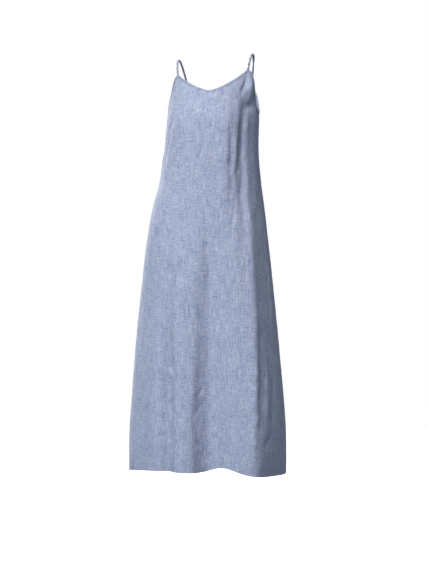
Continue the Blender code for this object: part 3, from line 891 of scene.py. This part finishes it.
def bindingFrames(panel, u):
    z = topEdge(panel, u)
    edge = clothPoint(panel, u, z)
    normal = clothNormal(panel, u, z)
    run = unit(np.gradient(edge, axis=0))
    into = unit(np.cross(run, normal))
    into = into * np.where(into[:, 2:3] > 0, -1.0, 1.0)
    byU, byZ = clothSlopes(panel, u, z)
    inverse = np.linalg.pinv(np.stack([byU, byZ], axis=-1))
    legs = []
    for inset in binding["legs"]:
        shift = inverse @ (into * binding["width"] * inset)[..., None]
        legU, legZ = u + shift[:, 0, 0], z + shift[:, 1, 0]
        legs.append((clothPoint(panel, legU, legZ), clothNormal(panel, legU, legZ)))
    return legs, into


def bindingRings(legs, into):
    near, far = binding["gap"], binding["gap"] + binding["wall"]
    wall = dress["wall"]
    edge, normal = legs[0]
    middle = edge - normal * wall / 2
    rings = []
    for (place, way), share in zip(legs[::-1], binding["legWalls"][::-1]):  # up the outer leg
        rings.append(place + way * (near + binding["wall"] * share))
    radius = wall / 2 + far
    for turn in binding["overTop"]:
        angle = math.pi * turn
        rings.append(middle + normal * radius * math.cos(angle) - into * radius * math.sin(angle))
    for (place, way), share in zip(legs, binding["legWalls"]):  # down the inner leg
        rings.append(place - way * (wall + near + binding["wall"] * share))
    for place, way in legs[::-1]:  # and back along the faces that lie on the cloth
        rings.append(place - way * (wall + near))
    for place, way in legs:
        rings.append(place + way * near)
    return np.stack(rings, axis=1)


def sweptPiece(name, rings, material):
    stations, sides = rings.shape[:2]
    points = rings.reshape(-1, 3)
    around = np.linalg.norm(np.diff(rings, axis=1, append=rings[:, :1]), axis=2)
    around = np.concatenate([np.zeros((stations, 1)), np.cumsum(around, axis=1)[:, :-1]], axis=1)
    along = runAlong(rings.mean(axis=1))
    flat = np.stack([around, np.broadcast_to(along[:, None], around.shape)], axis=-1).reshape(-1, 2)
    faces = facingOut(points, sweptFaces(stations, sides))
    return newPiece(name, points, faces, flat, material, "swept")


bindingLines = {}  # where each binding lies, for its sewing


def makeNeckBinding(panel, name, node, material):
    inner = tipSides(panel)[0]
    u = edgeStations(panel, -inner, inner, binding["stations"])
    half = bindingFrames(panel, u)
    piece = sweptPiece(name, bindingRings(*half), material)
    bindingLines[name] = [half]
    return standFor(piece, node)


def makeArmholeBinding(side, name, node, material):
    halves = []
    for panel in ("front", "back"):
        outer = tipSides(panel)[1]
        u = edgeStations(panel, side * outer, side, binding["stations"] // 2)
        halves.append(bindingFrames(panel, u))
    front, back = (bindingRings(*half) for half in halves)
    joined = (front[-1:] + back[-1:]) / 2
    rings = np.concatenate([front[:-1], joined, back[-2::-1]])
    piece = sweptPiece(name, rings, material)
    bindingLines[name] = halves
    return standFor(piece, node)


strap = {
    "left": {"side": 1.0, "width": 0.0068, "thickness": 0.0050, "turns": -2.5, "waist": 0.62},
    "right": {"side": -1.0, "width": 0.0060, "thickness": 0.0022, "turns": 0.0, "waist": 0.0},
    "spread": 0.112,
    "roll": 0.0065,
    "twistEase": 2.32,  # the twist is tight at the front tip and dies away towards the back
    "waistWidth": 0.26,  # share of the width over which the section is drawn in at its middle
    "stations": 220,
    "sides": 28,
    "corners": 0.75,  # the lower, the squarer the section
    "seamNotch": 0.00035,  # depth of the groove along the seam, and its reach round the section
    "notchReach": 0.2,
}


def tipFrame(panel, side):
    edge = panelEdges[panel]
    u = np.array([side * edge["tipU"]])
    z = np.array([edge["tipZ"] + edge["roll"] * side])
    normal = clothNormal(panel, u, z)[0]
    alongEdge = unit(clothSlopes(panel, u, z)[0][0])
    upwards = unit(np.cross(alongEdge, normal))
    upwards = upwards * np.sign(upwards[2])
    return clothPoint(panel, u, z)[0] - normal * dress["wall"] / 2, upwards, alongEdge


def hermite(start, startWay, end, endWay, count):
    t = np.linspace(0.0, 1.0, count)[:, None]
    pull = np.linalg.norm(end - start)
    curve = (1 + 2 * t) * (1 - t) ** 2 * start + t * (1 - t) ** 2 * pull * startWay
    return curve + t**2 * (3 - 2 * t) * end - t**2 * (1 - t) * pull * endWay


def strapWay(up, start, top):  # as steep as the cloth and, from the front, straight for the shoulder
    across, height = top[0] - start[0], top[2] - start[2]
    return unit(np.array([across, height * up[1] / up[2], height]))


def makeStrap(sideName, name, node, material):
    cut = strap[sideName]
    side, width, thickness = cut["side"], cut["width"], cut["thickness"]
    front, frontUp, frontAcross = tipFrame("front", side)
    back, backUp, backAcross = tipFrame("back", side)
    front, back = front + frontUp * dress["seamGap"], back + backUp * dress["seamGap"]
    top = np.array([side * strap["spread"], 0.0, side * strap["roll"] + thickness / 2])
    half = strap["stations"] // 2
    backwards = np.array([0.0, 1.0, 0.0])
    rising = hermite(front, strapWay(frontUp, front, top), top, backwards, half)
    falling = hermite(top, backwards, back, -strapWay(backUp, back, top), half)
    share = evenRise(np.linspace(0.0, 1.0, half))[:, None]
    level = np.array([1.0, 0.0, 0.0])
    risingAcross = frontAcross + (level - frontAcross) * share
    fallingAcross = level + (backAcross - level) * share
    across = np.concatenate([risingAcross, fallingAcross[1:]])
    route = np.concatenate([rising, falling[1:]])
    run = unit(np.gradient(route, axis=0))
    run[0], run[-1] = frontUp, -backUp
    across = unit(across - run * (across * run).sum(axis=1, keepdims=True))
    up = np.cross(run, across)
    length = runAlong(route)
    twisted = 1.0 - (1.0 - length / length[-1]) ** strap["twistEase"]
    twist = (2 * math.pi * cut["turns"] * twisted)[:, None, None]
    corner = np.linspace(0.0, 2 * math.pi, strap["sides"], endpoint=False)
    wide = np.sign(np.cos(corner)) * np.abs(np.cos(corner)) ** strap["corners"] * width / 2
    thick = np.sign(np.sin(corner)) * np.abs(np.sin(corner)) ** strap["corners"] * thickness / 2
    thick = thick * (1.0 - cut["waist"] * np.exp(-((wide / (strap["waistWidth"] * width)) ** 2)))
    fromSeam = (np.mod(corner + math.pi, 2 * math.pi) - math.pi) / strap["notchReach"]
    wide = wide - strap["seamNotch"] * np.exp(-(fromSeam ** 2))
    wide, thick = wide[None, :, None], thick[None, :, None]
    turnedWide = wide * np.cos(twist) - thick * np.sin(twist)
    turnedThick = wide * np.sin(twist) + thick * np.cos(twist)
    rings = route[:, None] + turnedWide * across[:, None] + turnedThick * up[:, None]
    return standFor(sweptPiece(name, rings, material), node)


# The bindings and straps take the same linen painted darker: painted shade for the shadow along the bindings
# and for the shaded straps
biasLinen = linenMaterial("biasLinen", weaveAngle=math.radians(45.0), paintedShade=0.87, seed=80.0)
strapLinen = linenMaterial("strapLinen", weaveAngle=math.radians(4.0), paintedShade=0.66, seed=120.0)
frontNeckBinding = makeNeckBinding("front", "frontNeckBinding", "front_neck_binding", biasLinen)
backNeckBinding = makeNeckBinding("back", "backNeckBinding", "back_neck_binding", biasLinen)
leftArmholeBinding = makeArmholeBinding(1.0, "leftArmholeBinding", "left_armhole_binding", biasLinen)
rightArmholeBinding = makeArmholeBinding(-1.0, "rightArmholeBinding", "right_armhole_binding", biasLinen)
leftStrap = makeStrap("left", "leftStrap", "left_strap", strapLinen)
rightStrap = makeStrap("right", "rightStrap", "right_strap", strapLinen)
print("bindings and straps made")


# sewing

stitch = {
    "pitch": 0.0034,
    "share": 0.66,  # of the pitch that the thread lies over
    "thickness": 0.00042,
    "sink": 0.00008,
    "uneven": 0.09,
    "shift": 0.3,  # share of that unevenness sideways
    "profile": ((-1.0, 0.25), (-0.7, 0.8), (0.0, 1.0), (0.7, 0.8), (1.0, 0.25)),  # place along, and size
    "sides": 6,
    "flatness": 0.6,
    "bindingInset": 0.0011,  # from the binding's lower edge
    "seamMargin": 2,  # columns beside a side seam with no stitch
    "toneTurns": 60.0,  # turns a metre of the thread's tone, and of its twist
    "twistTurns": 9000.0,
    "twistHeight": 0.00003,
    "roughness": 0.6,
    "seed": 5,
}


def threadMaterial():
    paint, shader = newPaint("sewingThread")
    wire = Wire(paint.node_tree)
    place = wire.node("ShaderNodeTexCoord", output=3)
    x, y, z = (wire.node("ShaderNodeSeparateXYZ", None, {0: place}, axis) for axis in range(3))
    turns = stitch["toneTurns"]
    tone = wire.noise(x * turns, y * turns, 2.0, z * turns)
    twist = ((x + y + z) * stitch["twistTurns"]).sine()
    colour = wire.blend(tone, (*linenLook["blueThread"], 1.0), (*linenLook["whiteThread"], 1.0))
    bump = (twist * stitch["twistHeight"]).bump()
    setInputs(shader, {"Base Color": colour, "Normal": bump, "Roughness": stitch["roughness"]})
    return paint


def valueAlong(run, values, place):
    return np.array([np.interp(place, run, values[:, axis]) for axis in range(3)])


def stitchRow(points, normals, chance):
    run = runAlong(points)
    count = int(run[-1] / stitch["pitch"])
    middles = (np.arange(count) + 0.5) * run[-1] / count
    thick = stitch["thickness"]
    made = []
    for middle in middles:
        half = stitch["pitch"] * stitch["share"] / 2 * (1.0 + chance.uniform(-1, 1) * stitch["uneven"])
        shift = chance.uniform(-1, 1) * stitch["uneven"] * stitch["pitch"] * stitch["shift"]
        first, last = (valueAlong(run, points, middle + way * half) for way in (-1, 1))
        normal = unit(valueAlong(run, normals, middle))
        along = unit(last - first)
        aside = np.cross(normal, along)
        base = (first + last) / 2 + aside * shift
        for place, size in stitch["profile"]:
            centre = base + along * half * place + normal * (thick * 0.5 * size - stitch["sink"])
            for corner in range(stitch["sides"]):
                angle = 2 * math.pi * corner / stitch["sides"]
                flatter = normal * math.sin(angle) * stitch["flatness"]
                made.append(centre + (aside * math.cos(angle) + flatter) * thick * size / 2)
    return np.array(made)


def stitchPiece(name, rows, material):
    chance = np.random.RandomState(stitch["seed"])
    points = np.concatenate([stitchRow(*row, chance) for row in rows])
    rings, sides = len(stitch["profile"]), stitch["sides"]
    one = facingOut(points[:rings * sides], sweptFaces(rings, sides))
    faces = []
    for start in range(0, len(points), rings * sides):
        faces += [tuple(corner + start for corner in face) for face in one]
    flat = np.stack([points[:, 0], points[:, 2]], axis=-1)
    piece = newPiece(name, points, faces, flat, material, "swept")
    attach(piece, "root")
    return piece


def hemRow(panel):
    parts = panelParts[panel]
    points, normals = parts["points"], parts["normals"]
    above = parts["aboveHem"][0]
    level = min(np.searchsorted(above, dress["hemStitch"]), len(above) - 1)
    share = (dress["hemStitch"] - above[level - 1]) / (above[level] - above[level - 1])
    line = points[:, level - 1] + (points[:, level] - points[:, level - 1]) * share
    inside = slice(stitch["seamMargin"], -stitch["seamMargin"])
    return line[inside], normals[inside, level]


def bindingRow(legs, into):
    lower, upper = legs[-1], legs[-2]
    part = stitch["bindingInset"] / binding["width"] / (binding["legs"][-1] - binding["legs"][-2])
    place = lower[0] + (upper[0] - lower[0]) * part
    return place + lower[1] * (binding["gap"] + binding["wall"]), lower[1]


sewingThread = threadMaterial()
frontHemStitches = stitchPiece("frontHemStitches", [hemRow("front")], sewingThread)
backHemStitches = stitchPiece("backHemStitches", [hemRow("back")], sewingThread)
for name, halves in bindingLines.items():
    stitchPiece(name + "Stitches", [bindingRow(*half) for half in halves], sewingThread)
print("stitches made")


# each panel's cut and area, printed

for panel, piece in (("front", frontCloth), ("back", backCloth)):
    parts = panelParts[panel]
    hemWidth = parts["run"][-1, 0] - parts["run"][0, 0]
    rowWidths = parts["run"][-1] - parts["run"][0]
    clothLength = parts["aboveHem"].max() + dress["hemDepth"]
    heights = parts["aboveHem"][len(parts["aboveHem"]) // 2]
    area = float(np.sum((rowWidths[1:] + rowWidths[:-1]) / 2 * np.diff(heights)))
    print(panel, "cut", round(hemWidth, 3), round(clothLength, 3), "area", round(area, 3))
